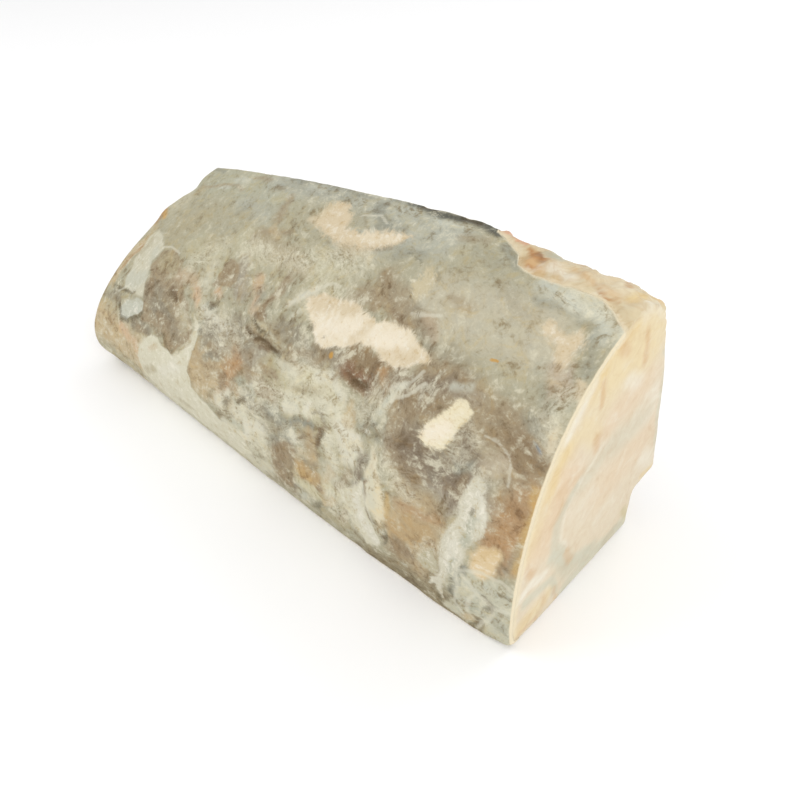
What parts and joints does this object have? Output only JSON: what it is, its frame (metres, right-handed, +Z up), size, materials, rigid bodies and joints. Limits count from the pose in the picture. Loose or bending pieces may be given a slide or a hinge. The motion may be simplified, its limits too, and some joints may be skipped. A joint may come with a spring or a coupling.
{
  "type": "swordfish fillet",
  "caption": "Thick skin-on swordfish loin piece, lying on its flat lower cut, with an arched skin side and a bare end cut.",
  "frame": {"origin": "middle of the flat lower cut, at its level", "axes": "+X along the fillet to the wide cut end, +Z up, -Y to the skin side, +Y to the cut along the backbone"},
  "size_m": [0.3318, 0.1352, 0.1563],
  "materials": {
    "flesh": "satin",
    "skin": "satin"
  },
  "bodies": {
    "root": {"fillet": "flesh"}
  },
  "joints": []
}
